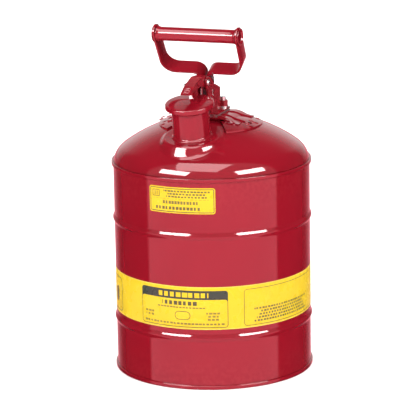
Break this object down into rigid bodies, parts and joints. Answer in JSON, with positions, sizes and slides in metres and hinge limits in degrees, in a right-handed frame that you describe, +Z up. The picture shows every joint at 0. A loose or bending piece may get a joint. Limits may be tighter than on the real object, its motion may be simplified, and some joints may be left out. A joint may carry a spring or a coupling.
{
  "type": "safety gas can",
  "caption": "Round red steel safety can with a domed top, tilted spout, sprung lid and lever, and a swinging carry handle.",
  "frame": {"origin": "middle of the foot, on the surface that the can stands on", "axes": "+Z up, -Y towards the spout, +X along the grip"},
  "size_m": [0.2984, 0.2984, 0.5232],
  "materials": {
    "can_enamel": "glossy red enamel on steel",
    "zinc_steel": "bright zinc plate",
    "spring_steel": "dark oiled spring wire",
    "screen_steel": "perforated stainless screen",
    "seal_rubber": "black fuel-proof rubber",
    "label_film": "yellow printed film"
  },
  "bodies": {
    "can": {"body_shell": "can_enamel", "top_dome": "can_enamel", "bottom_head": "can_enamel", "pour_spout": "can_enamel", "flame_arrester": "screen_steel", "arrester_ring": "screen_steel", "lid_hinge_pin": "zinc_steel", "saddle_plate": "can_enamel", "shim_plate": "zinc_steel", "handle_yoke": "can_enamel", "yoke_studs": "zinc_steel", "yoke_washers": "zinc_steel", "yoke_nuts": "can_enamel", "stop_pin": "can_enamel", "handle_pivot_pin": "zinc_steel", "pivot_washers": "zinc_steel", "label_band": "label_film", "label_upper": "label_film"},
    "lid": {"lid_cap": "can_enamel", "lid_gasket": "seal_rubber", "gasket_retainer": "zinc_steel", "retainer_rivet": "zinc_steel", "lid_clevis": "can_enamel", "clevis_pin": "can_enamel", "lid_lever": "can_enamel", "lid_spring": "spring_steel", "spring_bush": "zinc_steel"},
    "handle": {"strap_left": "can_enamel", "strap_right": "can_enamel", "grip_tube": "can_enamel"}
  },
  "joints": [
    {"name": "lid_hinge", "type": "hinge", "parent": "can", "child": "lid", "pos_m": [0, -0.037, 0.437], "axis": [-1, 0, 0], "range_deg": [0, 55], "stiffness_Nm_per_rad": 0.8, "springref_deg": -34.38},
    {"name": "handle_swing", "type": "hinge", "parent": "can", "child": "handle", "pos_m": [0, -0.007, 0.433], "axis": [-1, 0, 0], "range_deg": [0, 110]}
  ]
}
